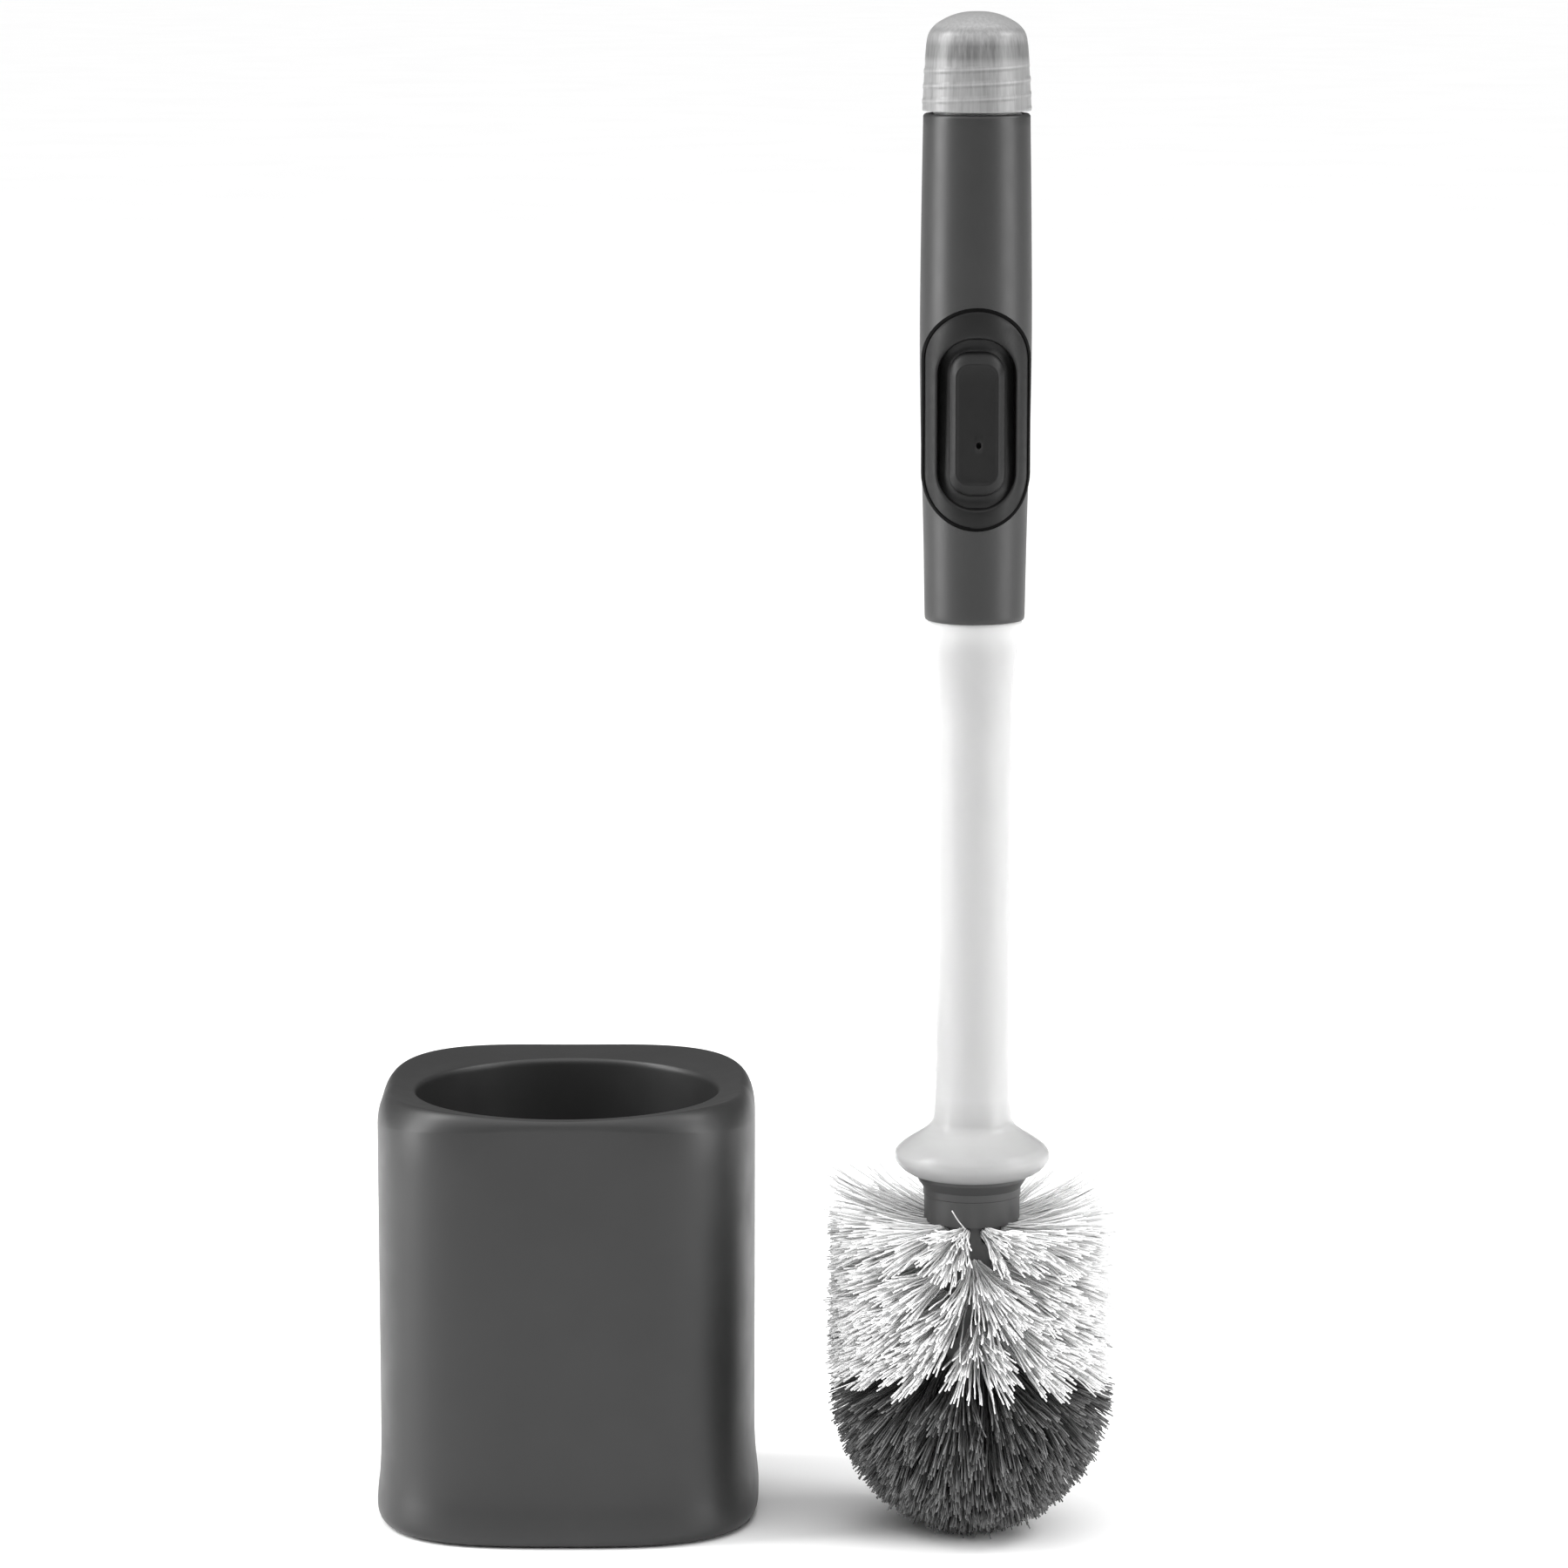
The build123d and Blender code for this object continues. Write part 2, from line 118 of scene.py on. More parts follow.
# ---------------------------------------------------------------- materials
class Shader:
    """A node material with one Principled shader, and short ways to build on it."""

    def __init__(self, name):
        self.material = bpy.data.materials.new(name)
        self.material.use_nodes = True
        self.nodes = self.material.node_tree.nodes
        self.links = self.material.node_tree.links
        self.principled = self.nodes["Principled BSDF"]
        self.place = self.nodes.new("ShaderNodeTexCoord").outputs["Object"]

    def set(self, **sockets):
        """Plain values for the shader's own sockets, such as Coat_Weight=0.2."""
        for name, value in sockets.items():
            self.principled.inputs[name.replace("_", " ")].default_value = value

    def stretched(self, scale):
        """Object coordinates scaled along X, Y and Z."""
        mapping = self.nodes.new("ShaderNodeMapping")
        mapping.inputs["Scale"].default_value = scale
        self.links.new(self.place, mapping.inputs["Vector"])
        return mapping.outputs["Vector"]

    def noise(self, scale, detail=2.0, rough=0.5, vector=None):
        """Cloudy noise with about this many clouds in a metre."""
        node = self.nodes.new("ShaderNodeTexNoise")
        node.inputs["Scale"].default_value = scale
        node.inputs["Detail"].default_value = detail
        node.inputs["Roughness"].default_value = rough
        self.links.new(vector or self.place, node.inputs["Vector"])
        return node.outputs["Fac"]

    def between(self, factor, low, high, start=0.3, end=0.7):
        """Map a factor to a range of numbers."""
        node = self.nodes.new("ShaderNodeMapRange")
        node.inputs["From Min"].default_value = start
        node.inputs["From Max"].default_value = end
        node.inputs["To Min"].default_value = low
        node.inputs["To Max"].default_value = high
        self.links.new(factor, node.inputs["Value"])
        return node.outputs["Result"]

    def tones(self, factor, *stops):
        """Map a factor to greys or colours; a stop is (place, grey or colour)."""
        node = self.nodes.new("ShaderNodeValToRGB")
        ramp = node.color_ramp
        while len(ramp.elements) < len(stops):
            ramp.elements.new(0.5)
        for element, (place, tone) in zip(ramp.elements, stops):
            element.position = place
            element.color = (tone, tone, tone, 1) if isinstance(tone, float) else (*tone, 1)
        self.links.new(factor, node.inputs["Fac"])
        return node.outputs["Color"]

    def part(self, axis):
        """One object coordinate, X, Y or Z."""
        node = self.nodes.new("ShaderNodeSeparateXYZ")
        self.links.new(self.place, node.inputs["Vector"])
        return node.outputs[axis]

    def close_to(self, value, middle, near, far):
        """1 where a value is within near of the middle, and falling to 0 at far from it."""
        off = self.math("ABSOLUTE", self.math("SUBTRACT", value, middle), 0)
        return self.between(off, 1.0, 0.0, near, far)

    def attribute(self, name):
        """A number stored on the mesh's points."""
        node = self.nodes.new("ShaderNodeAttribute")
        node.attribute_name = name
        return node.outputs["Fac"]

    def math(self, operation, a, b):
        """One sum on two sockets or numbers. ABSOLUTE and FRACT use only the first."""
        node = self.nodes.new("ShaderNodeMath")
        node.operation = operation
        for socket, value in zip(node.inputs, (a, b)):
            if isinstance(value, (int, float)):
                socket.default_value = value
            else:
                self.links.new(value, socket)
        return node.outputs["Value"]

    def bump(self, height, depth, strength):
        """A bump of a depth in metres, on top of any bump already there."""
        node = self.nodes.new("ShaderNodeBump")
        node.inputs["Distance"].default_value = depth
        node.inputs["Strength"].default_value = strength
        self.links.new(height, node.inputs["Height"])
        normal = self.principled.inputs["Normal"]
        if normal.is_linked:
            self.links.new(normal.links[0].from_socket, node.inputs["Normal"])
        self.links.new(node.outputs["Normal"], normal)

    def drive(self, socket, source):
        """Let a texture set one of the shader's sockets."""
        self.links.new(source, self.principled.inputs[socket])


def satin_plastic(name, tone, rough):
    """Injection-moulded polypropylene with a fine spark finish and faint flow clouds."""
    shader = Shader(name)
    cloud = shader.noise(28.0, 3.0)
    shader.drive("Base Color", shader.tones(cloud, (0.3, tone * 0.93), (0.7, tone * 1.07)))
    patch = shader.noise(90.0, 4.0)
    shader.drive("Roughness", shader.between(patch, rough - 0.035, rough + 0.035))
    shader.bump(shader.noise(2600.0, 2.0), 0.00002, 0.35)
    shader.bump(shader.noise(160.0, 2.0), 0.00012, 0.12)
    shader.set(IOR=1.49, Specular_IOR_Level=0.4)
    return shader.material


def silicone(name, tone, rough, gloss=0.33):
    """Moulded silicone or rubber: a soft sheen, and dust-fine unevenness."""
    shader = Shader(name)
    cloud = shader.noise(120.0, 3.0)
    shader.drive("Base Color", shader.tones(cloud, (0.3, tone * 0.85), (0.7, tone * 1.2)))
    shader.drive("Roughness", shader.between(shader.noise(400.0, 3.0), rough - 0.05, rough + 0.06))
    shader.bump(shader.noise(1900.0, 3.0), 0.00003, 0.35)
    shader.set(IOR=1.41, Specular_IOR_Level=gloss)
    return shader.material


def milky_plastic(name):
    """Natural polypropylene, which light soaks into; the flange is painted darker than the shaft, a painted
    shade.
    """
    # the flange's tone is painted shade, darker than the shaft's
    painted_flange_shade_tone, shaft_tone = 0.315, 0.62
    fade_low, fade_high = 108.0, 124.0      # heights between which one gives way to the other
    shader = Shader(name)
    height = shader.between(shader.part("Z"), 0.0, 1.0, fade_low * MM, fade_high * MM)
    cloud = shader.between(shader.noise(45.0, 3.0), -0.06, 0.06)
    ramp = shader.tones(shader.math("ADD", height, cloud), (0.0, painted_flange_shade_tone), (1.0, shaft_tone))
    shader.drive("Base Color", ramp)
    shader.drive("Roughness", shader.between(shader.noise(140.0, 3.0), 0.2, 0.27))
    shader.bump(shader.noise(110.0, 1.0), 0.00004, 0.08)
    shader.set(IOR=1.49, Specular_IOR_Level=0.22, Subsurface_Weight=1.0, Subsurface_Scale=0.015)
    shader.set(Subsurface_Radius=(1.0, 1.0, 1.0))
    return shader.material


RIDGES_TOP = 406.2                  # heights, in the cap, of the last ridge of its screw,
SEAL_Z = 409.6                      # of the seal's middle
ROOF_Z = 415.2                      # and of the corner between its side and its roof


def screw_ridge_highlights_and_shadows(shader, height):
    """Painted highlights along the screw ridges, each with a painted shadow line under it, that climb round
    the cap's skirt.
    """
    turn = shader.math("ARCTAN2", shader.math("SUBTRACT", shader.part("Y"), BRUSH[1]),
                       shader.math("SUBTRACT", shader.part("X"), BRUSH[0]))
    climbed = shader.math("MULTIPLY", turn, THREAD_PITCH * MM / (2 * math.pi))
    level = shader.math("SUBTRACT", height, climbed)
    crest = shader.math("FRACT", shader.math("DIVIDE", level, THREAD_PITCH * MM), 0)
    # painted highlight on each ridge's crest, and a painted shadow line just below it
    painted_ridge_highlight = shader.math("MULTIPLY", shader.close_to(crest, 0.5, 0.03, 0.1), 0.26)
    shade = shader.math("MULTIPLY", shader.close_to(crest, 0.34, 0.02, 0.14), 0.2)
    ridges = shader.math("SUBTRACT", painted_ridge_highlight, shade)
    skirt = shader.between(height, 1.0, 0.0, (RIDGES_TOP - 0.4) * MM, (RIDGES_TOP + 0.4) * MM)
    ridges = shader.math("MULTIPLY", ridges, skirt)
    patchy = shader.between(shader.noise(90.0, 2.0), 0.25, 1.0)
    return shader.math("MULTIPLY", ridges, patchy)


def frosted_plastic(name):
    """Translucent cap: a band of painted shade where the seal sits behind it, painted highlights and shadow
    lines of the screw ridges on its skirt, and painted shade at the roof's corner with painted light above
    it.
    """
    shader = Shader(name)
    height = shader.part("Z")
    streak = shader.noise(60.0, 2.0, 0.6, shader.stretched((22.0, 22.0, 1.2)))
    ridges = screw_ridge_highlights_and_shadows(shader, height)
    # painted shade: a darker band of the cap where the seal sits behind it
    seal = shader.math("MULTIPLY", shader.close_to(height, SEAL_Z * MM, 1.4 * MM, 3.1 * MM), -0.26)
    # painted shade darkens the corner between the cap's side and roof, and painted light brightens the roof
    # above it
    corner = shader.math("MULTIPLY", shader.close_to(height, ROOF_Z * MM, 0.2 * MM, 1.0 * MM), -0.16)
    above = shader.between(height, 0.0, 0.16, (ROOF_Z - 2.7) * MM, (ROOF_Z + 1.3) * MM)
    roof = shader.math("ADD", corner, above)
    base = shader.between(streak, 0.4, 0.66)
    for more in (ridges, seal, roof):
        base = shader.math("ADD", base, more)
    shader.drive("Base Color", shader.tones(base, (0.0, 0.1), (1.0, 0.62)))
    shader.drive("Roughness", shader.between(streak, 0.3, 0.4))
    shader.bump(streak, 0.00004, 0.1)
    shader.set(IOR=1.47, Transmission_Weight=0.55)
    return shader.material


def bright_steel(name):
    """Drawn wire: bare metal with fine streaks."""
    shader = Shader(name)
    streak = shader.noise(900.0, 2.0)
    shader.drive("Base Color", shader.tones(streak, (0.3, 0.5), (0.7, 0.62)))
    shader.drive("Roughness", shader.between(streak, 0.25, 0.4))
    shader.set(Metallic=1.0)
    return shader.material


def nylon(name, dark, light, rough=0.38, milky=0.0):
    """Bristle filament: each has its own tone, and a little unevenness along it."""
    shader = Shader(name)
    own = shader.attribute("filament_tone")
    along = shader.between(shader.noise(500.0, 2.0), -0.12, 0.12)
    shader.drive("Base Color", shader.tones(shader.math("ADD", own, along), (0.0, dark), (1.0, light)))
    shader.drive("Roughness", shader.between(shader.noise(700.0, 2.0), rough - 0.06, rough + 0.08))
    shader.bump(shader.noise(2500.0, 2.0), 0.00003, 0.3)
    shader.set(IOR=1.53, Specular_IOR_Level=0.3, Subsurface_Weight=milky, Subsurface_Scale=0.002)
    shader.set(Subsurface_Radius=(1.0, 1.0, 1.0))
    return shader.material


def floor_paper(name):
    """Matt white background paper."""
    shader = Shader(name)
    shader.drive("Base Color", shader.tones(shader.noise(6.0, 3.0), (0.3, 0.93), (0.7, 0.95)))
    shader.drive("Roughness", shader.between(shader.noise(40.0, 3.0), 0.75, 0.85))
    shader.bump(shader.noise(900.0, 2.0), 0.00005, 0.1)
    shader.set(Specular_IOR_Level=0.1)
    return shader.material


# ---------------------------------------------------------------- mesh helpers
def through(points, spacing, most=10):
    """More rows on a smooth curve through these, which doesn't overshoot them."""
    rows = np.array(points, float)
    chord = np.linalg.norm(np.diff(rows[:, :2], axis=0), axis=1)
    slope = np.diff(rows, axis=0) / chord[:, None]
    tangent = np.zeros_like(rows)
    tangent[0] = slope[0]
    tangent[-1] = slope[-1]
    for i in range(1, len(rows) - 1):
        same = slope[i - 1] * slope[i] > 0
        total = slope[i - 1] * chord[i] + slope[i] * chord[i - 1]
        weighted = total / (chord[i] + chord[i - 1])
        limit = 3 * np.minimum(abs(slope[i - 1]), abs(slope[i]))
        tangent[i] = np.where(same, np.sign(weighted) * np.minimum(abs(weighted), limit), 0)
    found = []
    for i, span in enumerate(chord):
        steps = int(min(most, max(1, math.ceil(span / spacing))))
        for step in range(steps):
            t = step / steps
            found.append(
                (1 + 2 * t) * (1 - t) ** 2 * rows[i] + t * (1 - t) ** 2 * span * tangent[i]
                + t * t * (3 - 2 * t) * rows[i + 1] + t * t * (t - 1) * span * tangent[i + 1]
            )
    found.append(rows[-1])
    return [tuple(row) for row in found]


def outline(*runs, spacing=0.5):
    """Rows of a profile. A list is a smooth curve, and a single point is a corner."""
    rows = []
    for run in runs:
        rows += through(run, spacing) if isinstance(run, list) else [run]
    return rows


def link(name, mesh):
    """A new object in the scene that shows a mesh."""
    piece = bpy.data.objects.new(name, mesh)
    bpy.context.scene.collection.objects.link(piece)
    return piece


def quad_mesh(name, corners, quads):
    """A mesh from arrays of corners, in metres, and of four-sided faces."""
    mesh = bpy.data.meshes.new(name)
    mesh.vertices.add(len(corners))
    mesh.vertices.foreach_set("co", np.asarray(corners, np.float32).ravel())
    mesh.loops.add(4 * len(quads))
    mesh.loops.foreach_set("vertex_index", np.asarray(quads, np.int32).ravel())
    mesh.polygons.add(len(quads))
    mesh.polygons.foreach_set("loop_start", np.arange(0, 4 * len(quads), 4, dtype=np.int32))
    mesh.update(calc_edges=True)
    return mesh


def finish_mesh(mesh, crease):
    """Faces turned outwards, smooth shading, and hard edges where the surface turns sharply."""
    work = bmesh.new()
    work.from_mesh(mesh)
    bmesh.ops.remove_doubles(work, verts=work.verts, dist=1e-7)
    bmesh.ops.recalc_face_normals(work, faces=work.faces)
    work.to_mesh(mesh)
    work.free()
    mesh.shade_smooth()
    if crease:
        mesh.set_sharp_from_angle(angle=math.radians(crease))


CREASE = 40                         # degrees of turn that shade as a hard edge


def ring_stack(name, rings, crease=CREASE):
    """A closed mesh from a loop of rings, each an array of as many points, in metres."""
    rings = np.array(rings)
    count, columns = rings.shape[:2]
    ring = np.arange(count)[:, None]
    column = np.arange(columns)[None, :]
    after_ring = (ring + 1) % count
    after_column = (column + 1) % columns
    quads = np.stack([
        ring * columns + column,
        ring * columns + after_column,
        after_ring * columns + after_column,
        after_ring * columns + column,
    ], axis=-1).reshape(-1, 4)
    mesh = quad_mesh(name, rings.reshape(-1, 3), quads)
    finish_mesh(mesh, crease)
    return mesh


def columns_round(count):
    """Angles, in radians, of evenly spaced columns."""
    return np.arange(count) * 2 * math.pi / count


def turned(name, rows, axis, columns, swell=None, crease=CREASE):
    """A hollow piece about an upright axis, from a closed outline of (half width, height, power).

    The plan is a circle at power 2, and squarer above it. A half width or a height may also be
    an array with a number for each column. swell(row, angles) gives millimetres to add to each
    column's distance.
    """
    angles = columns_round(columns)
    across = np.stack([abs(np.cos(angles)), abs(np.sin(angles))])
    rings = []
    for row in rows:
        power = row[2] if len(row) > 2 else 2.0
        distance = row[0] * (across**power).sum(0) ** (-1 / power)
        if swell:
            distance = distance + swell(row, angles)
        x = axis[0] + distance * np.cos(angles) * MM
        y = axis[1] + distance * np.sin(angles) * MM
        rings.append(np.stack([x, y, np.zeros(columns) + row[1] * MM], axis=-1))
    return ring_stack(name, rings, crease)


def dome_mesh(name, rows, axis, columns, swell):
    """Like turned, but the outline starts and ends on the axis, so both ends close in a fan."""
    def on_axis(vert):
        return math.hypot(vert.co.x - axis[0], vert.co.y - axis[1]) < 0.02 * MM

    mesh = turned(name, rows, axis, columns, swell, crease=0)
    work = bmesh.new()
    work.from_mesh(mesh)
    tips = [vert for vert in work.verts if on_axis(vert)]
    bmesh.ops.remove_doubles(work, verts=tips, dist=0.05 * MM)
    loose = [face for face in work.faces if all(on_axis(vert) for vert in face.verts)]
    bmesh.ops.delete(work, geom=loose, context="FACES")
    inner = [edge for edge in work.edges if not edge.link_faces]
    bmesh.ops.delete(work, geom=inner, context="EDGES")
    work.to_mesh(mesh)
    work.free()
    finish_mesh(mesh, CREASE)
    return mesh


def dress(piece, body, slot, material, *replaced):
    """Give a piece its material and its body, and hide the CAD nodes that it stands for. Its slot is not
    used.
    """
    piece.data.materials.clear()
    for one in material if isinstance(material, list) else [material]:
        piece.data.materials.append(one)
    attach(piece, body)
    if replaced:
        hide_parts(*replaced)
    return piece


def paint(node, material):
    """A better material on a CAD node that stays."""
    for holder in NODES[node].material_slots:
        holder.material = material


# ---------------------------------------------------------------- cup
CUP_POWER = 3.2                     # how square its plan is: 2 is a circle
CUP_HALF = 52.7                     # half its width, and the inside's
CUP_INNER_HALF = 50.1
CUP_COLUMNS = 288
MOUTH = (43.3, 118.9)               # where the top's slope ends and the mouth's lip begins
DECK_POWER = (2.8, 2.0)             # of the plan at the rim's ridge and at the mouth


def cup_shell(material, polished_lip_with_highlight):
    """The square cup: flared foot, a round mouth, and a rim that changes as it goes round.

    The rim is tight at the front and back and soft at the sides, and it rises a little at the
    corners. A skirt hangs from the mouth inside, and the mouth's edge is glossier, with a lighter grey that
    is a painted highlight.
    """
    turns = columns_round(CUP_COLUMNS)
    tight = abs(np.sin(turns)) ** 1.25
    back = np.clip(np.sin(turns), 0, 1) ** 6
    ridge = 48.5 + 3.1 * tight
    ridge_z = 120.1 + 1.5 * np.sin(2 * turns) ** 2 + 1.1 * back
    round_z = 111.0 + 6.4 * tight
    wall = [(50.4, 0.6), (51.6, 0.62), (52.8, 1.3), (53.45, 2.6), (53.6, 4.2), (53.35, 8), (52.9, 12),
            (52.6, 17), (52.5, 24), (52.6, 60), (CUP_HALF, 104)]
    rows = [(half, z, CUP_POWER) for half, z in through(wall, 0.6, 8)]
    for turn in np.radians(np.arange(0, 91, 5)):
        half = ridge + (CUP_HALF - ridge) * np.cos(turn)
        height = round_z + (ridge_z - round_z) * np.sin(turn)
        rows.append((half, height, CUP_POWER + (DECK_POWER[0] - CUP_POWER) * math.sin(turn)))
    for part in np.linspace(0, 1, 13)[1:]:
        dip = part**2 * (3 - 2 * part) * 0.45 + part * 0.55
        power = DECK_POWER[0] + (DECK_POWER[1] - DECK_POWER[0]) * min(1, part * 1.15) ** 1.6
        rows.append((ridge + (MOUTH[0] - ridge) * part, ridge_z + (MOUTH[1] - ridge_z) * dip, power))
    lip = [(42.95, 118.75), (42.65, 118.35), (42.45, 117.8), (42.38, 117.0), (42.38, 115.5), (42.5, 106.0),
           (42.6, 97.2), (42.9, 96.7), (43.6, 96.7), (43.9, 97.2)]
    rows += through(lip, 0.5, 6)
    rows += [(44.0, 106.0), (44.1, 115.0), (45.2, 117.1, 2.4), (47.2, 117.7, 2.9), (48.9, 117.2, 3.1)]
    rows += [(49.8, 115.2, CUP_POWER)]
    rows += [(CUP_INNER_HALF, z, CUP_POWER) for z in (112.0, 60, 10, 0.8)]
    mesh = turned("cup_shell", rows, CUP, CUP_COLUMNS)
    for face in mesh.polygons:
        across = math.hypot(face.center.x - CUP[0], face.center.y - CUP[1])
        on_lip = across < (MOUTH[0] + 0.1) * MM and face.center.z > (MOUTH[1] - 2.4) * MM
        face.material_index = 1 if on_lip else 0
    return dress(link("cup_shell", mesh), "holder", "grey_shell", [material, polished_lip_with_highlight], "holder_shell")


# ---------------------------------------------------------------- shaft, neck and cap
def thread(turn_up, height, low, high, width):
    """Height of a right-hand screw ridge at an angle and a height, faded out at both ends."""
    along = (height - turn_up / (2 * math.pi) * THREAD_PITCH) / THREAD_PITCH
    off_crest = abs((along + 0.5) % 1.0 - 0.5) * THREAD_PITCH
    ridge = np.clip(1.5 - off_crest / width, 0, 1)
    ends = np.clip((height - low) / 1.2, 0, 1) * np.clip((high - height) / 1.2, 0, 1)
    return ridge * ends


NECK_R = 11.75
NECK_BASE = 386.0
SCREW_STEP = 0.25                   # height of a row of faces where there is a thread


def reservoir(material):
    """Hollow milky shaft, with its splash flange below and the screw neck above."""
    neck = [(NECK_R, z) for z in np.arange(NECK_BASE, 405.9, SCREW_STEP)]
    flange = [(14.9, 101.3), (15.9, 101.45), (18.3, 102.5), (20.1, 104.0), (21.1, 105.4), (21.4, 106.7),
              (21.25, 107.5), (20.3, 108.9), (18.57, 110.3), (16.3, 111.8), (13.97, 113.3),
              (12.14, 114.75), (11.3, 116.0), (10.89, 118.0), (10.43, 127.5), (10.23, 150), (10.33, 176),
              (10.36, 200), (10.48, 224.5), (10.62, 233), (10.93, 239), (11.51, 244.7), (12.26, 250.4),
              (12.75, 253.6), (12.95, 254.7), (12.9, 255.2), (12.7, 255.4)]
    bore = [(10.2, 258), (10.6, 250), (9.7, 240), (9.1, 227), (8.95, 188), (8.85, 150), (9.0, 127.5),
            (9.9, 114.6), (13.2, 111.7), (17.3, 109.0), (19.2, 106.9), (17.6, 105.1), (12.6, 103.6)]
    rows = outline(
        (10.3, 90.3), (10.3, 101.2), flange, (11.6, 255.4), (11.6, 263.0), (9.0, 267.0), (9.0, 378.0),
        [(9.2, 379.0), (11.4, 384.2), (NECK_R, 385.4)], *neck, [(11.6, 406.1), (11.4, 406.2)],
        (10.6, 406.2), (10.6, 385.8), (7.6, 378.6), (7.6, 266.5), (10.2, 262.0), bore,
        (7.6, 102.8), (7.6, 94.0), (8.6, 94.0), (8.6, 90.3),
    )

    def swell(row, angles):
        if row[0] < NECK_R - 0.05 or row[1] < NECK_BASE:
            return 0
        return 0.65 * thread(angles, row[1], 388.5, 405.0, 0.75)

    mesh = turned("reservoir", rows, BRUSH, 160, swell)
    return dress(link("reservoir", mesh), "brush", "milky_tube", material, "reservoir_tube")


CAP_R = 14.72                       # at the foot of its skirt
CAP_BASE = 393.7
CAP_BORE_R = 12.95


def cap(material):
    """The frosted screw cap, with its thread inside and the faint sinks it leaves outside."""
    low = [(14.3, 393.4), (14.6, 393.45), (CAP_R, CAP_BASE)]
    side = [(CAP_R - 0.42 * (z - CAP_BASE) / 8.3 - 0.02 * max(0, z - 402), z)
            for z in np.arange(CAP_BASE + SCREW_STEP, 406.0, SCREW_STEP)]
    dome = [(14.05, 407.0), (13.9, 409.0), (13.6, 411.8), (13.2, 413.7), (12.8, 414.6), (12.15, 415.5),
            (11.2, 416.5), (9.9, 417.4), (8.25, 418.3), (6.0, 419.2), (3.0, 419.85), (0.0, 420.0)]
    hollow = [(0.0, 418.2), (4.0, 417.9), (7.0, 416.9), (9.4, 415.6), (10.9, 414.0), (11.6, 412.0),
              (11.7, 410.0)]
    bore = [(CAP_BORE_R, z) for z in np.arange(409.7, CAP_BASE, -SCREW_STEP)]
    rows = outline(low, *side, dome, spacing=0.6) + outline(hollow, *bore, (13.2, 393.4), spacing=0.8)
    side_rows = set(side)
    bore_rows = set(bore)

    def swell(row, angles):
        if row in side_rows:
            return 0.17 * thread(angles + math.pi, row[1], 393.6, 406.6, 0.62)
        if row in bore_rows:
            return -0.42 * thread(angles + math.pi, row[1], 394.2, 406.0, 0.6)
        return 0

    mesh = dome_mesh("cap_shell", rows, BRUSH, 160, swell)
    return dress(link("cap_shell", mesh), "cap", "frosted_cap", material, "filler_cap")


# ---------------------------------------------------------------- grip
GRIP = [(13.65, 257.0), (14.12, 282.0), (14.81, 306.0), (15.17, 332.0), (14.9, 365.0), (14.47, 391.9)]
GRIP_WALL = 1.9
WINDOW_Z = 311.2                    # middle of the oval window
WINDOW = (30.2, 14.85)              # its half height and half width
PAD_Z = 310.0                       # middle of the thumb pad
PAD = (19.6, 7.5, 6.0)              # its half height, half width and corner
GROOVE = (23.9, 11.3, 10.8)         # the same of the hole in the pump's band


def grip_radius(z):
    """The grip's outer radius at a height, from the same smooth curve as the sleeve."""
    radii, heights = zip(*through(GRIP, 1.0, 40))
    return np.interp(z, heights, radii)


def oblong(half_height, half_width, corner, shift=(0.0, 0.0)):
    """Points of a rounded oblong, (across, up) in millimetres, anticlockwise from the right."""
    per_corner, per_side = 14, 12
    corner = min(corner, half_width - 0.02, half_height - 0.02)
    side_x = half_width - corner
    side_z = half_height - corner
    points = []
    for quarter, (right, up) in enumerate([(1, 1), (-1, 1), (-1, -1), (1, -1)]):
        for step in range(per_corner + 1):
            turn = math.radians(90 * quarter + 90 * step / per_corner)
            x = right * side_x + corner * math.cos(turn)
            z = up * side_z + corner * math.sin(turn)
            points.append((x, z))
        if quarter in (1, 3):
            points += [(x, z - 2 * z * step / per_side) for step in range(1, per_side)]
    return np.array(points) + np.array(shift)


def facing(points, middle_z, depth):
    """Put oblong points in front of the brush's axis, a distance or depth(x, z) forwards."""
    x = points[:, 0]
    z = points[:, 1] + middle_z
    forward = depth(x, z) if callable(depth) else np.full(len(x), depth)
    return np.stack([BRUSH[0] + x * MM, BRUSH[1] - forward * MM, z * MM], axis=-1)


def on_grip(offset):
    """Distance forwards to a surface that far outside the grip's."""
    least = 2.6

    def depth(x, z):
        radius = grip_radius(z) + offset
        return np.sqrt(np.maximum(radius**2 - x**2, least**2))
    return depth


def on_tube(radius):
    """Distance forwards to an upright cylinder about the brush's axis."""
    def depth(x, z):
        return np.sqrt(np.maximum(radius**2 - x**2, 1.0))
    return depth


def grip_sleeve(material):
    """The tapered sleeve, with an oval window for the pump."""
    inner = [(radius - GRIP_WALL, z) for radius, z in GRIP[1:-1]][::-1]
    rows = outline(
        (11.8, 255.5), [(13.15, 255.5), (13.45, 255.7), (13.6, 256.2)], GRIP,
        [(14.4, 392.2), (14.05, 392.6), (13.85, 392.7)], (12.6, 392.7), (12.6, 390.2), inner, (11.8, 266.0),
        spacing=1.2,
    )
    sleeve = link("grip_sleeve", turned("grip_sleeve", rows, BRUSH, 192))
    hole = oblong(WINDOW[0], WINDOW[1], WINDOW[1])
    prism = [facing(hole, WINDOW_Z, 3.0), facing(hole, WINDOW_Z, 20.0)]
    cutter = link("window_cutter", capped_prism("window_cutter", prism))
    cut = sleeve.modifiers.new("window", "BOOLEAN")
    cut.object = cutter
    cut.operation = "DIFFERENCE"
    cut.solver = "EXACT"
    bpy.context.view_layer.update()
    result = sleeve.evaluated_get(bpy.context.evaluated_depsgraph_get())
    shape = bpy.data.meshes.new_from_object(result)
    sleeve.modifiers.clear()
    sleeve.data = shape
    bpy.data.objects.remove(cutter)
    finish_mesh(shape, 32)
    return dress(sleeve, "brush", "grip", material, "handle_sleeve")


